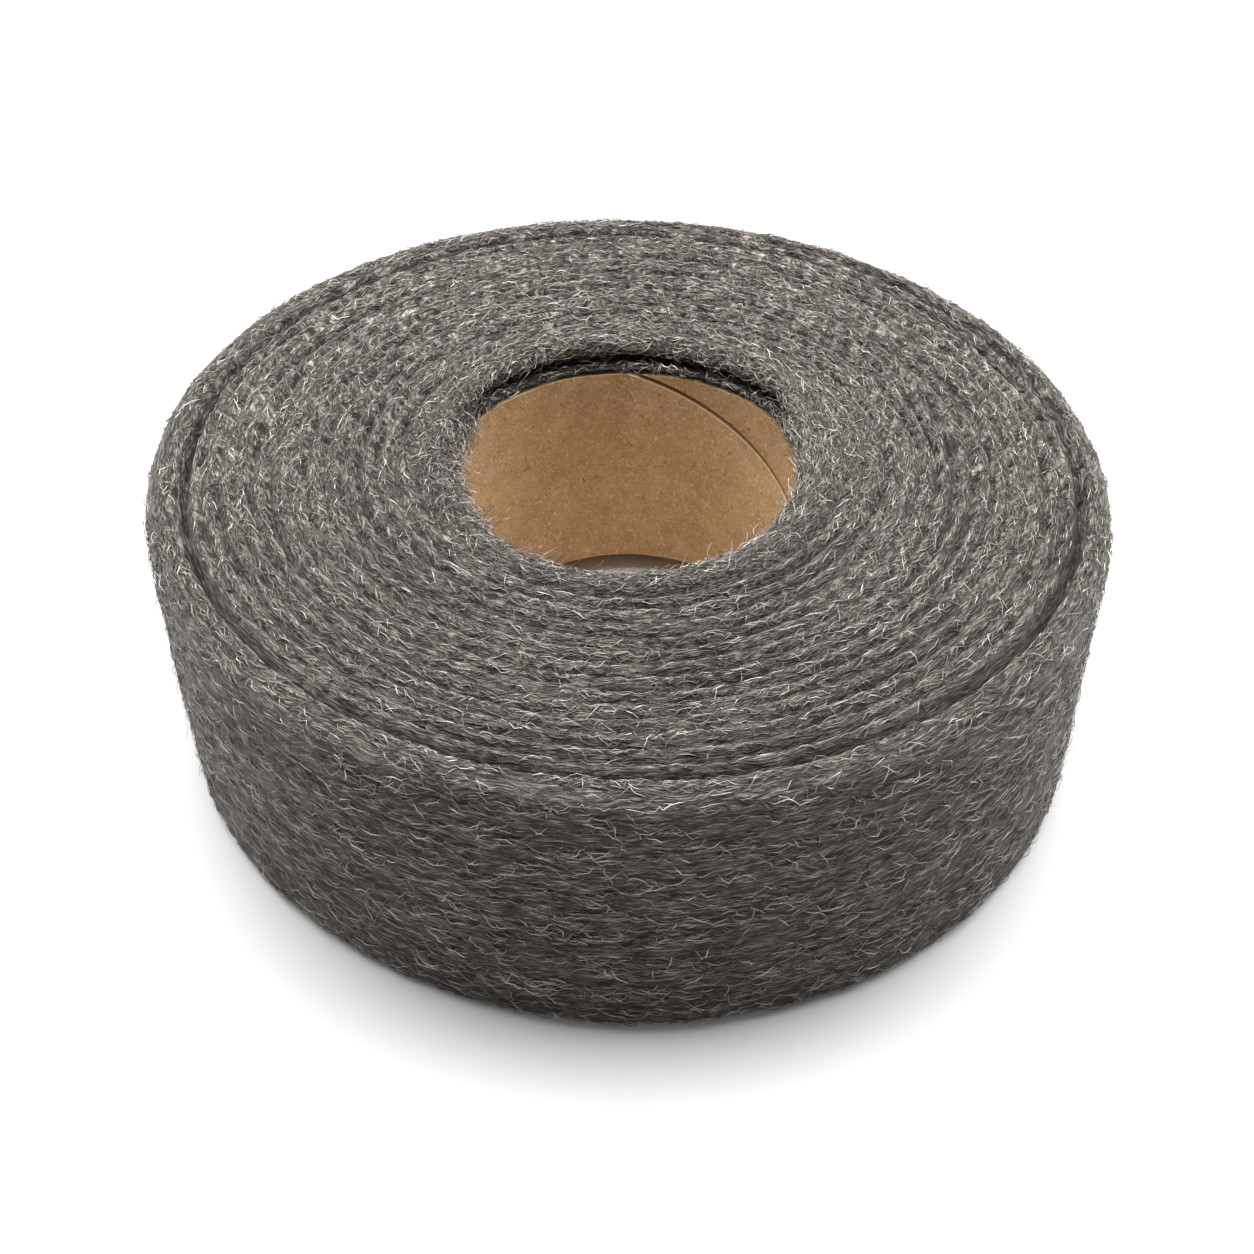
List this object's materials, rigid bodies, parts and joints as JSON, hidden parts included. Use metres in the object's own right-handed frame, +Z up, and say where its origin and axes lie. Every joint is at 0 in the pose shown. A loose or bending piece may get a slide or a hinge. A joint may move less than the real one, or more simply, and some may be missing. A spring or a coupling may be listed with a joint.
{
  "type": "steel wool roll",
  "caption": "Ribbon of steel wool wound in a flat round roll on a cardboard tube, standing on its end, with an open bore through the tube.",
  "frame": {"origin": "centre of the end that the roll rests on, on the roll's axis", "axes": "+Z up along the roll's axis, away from the surface it rests on; the ribbon starts and ends at +Y"},
  "size_m": [0.2, 0.2, 0.065],
  "materials": {
    "steel_wool": "a felt of fine shaved steel fibres along the winding, warm grey, with bright single wires and dark gaps between the turns",
    "kraft_cardboard": "matt brown kraft paper, spiral wound, with small dark and pale flecks and a seam groove"
  },
  "bodies": {
    "root": {"steel_wool_ribbon": "steel_wool", "cardboard_core": "kraft_cardboard"}
  },
  "joints": []
}
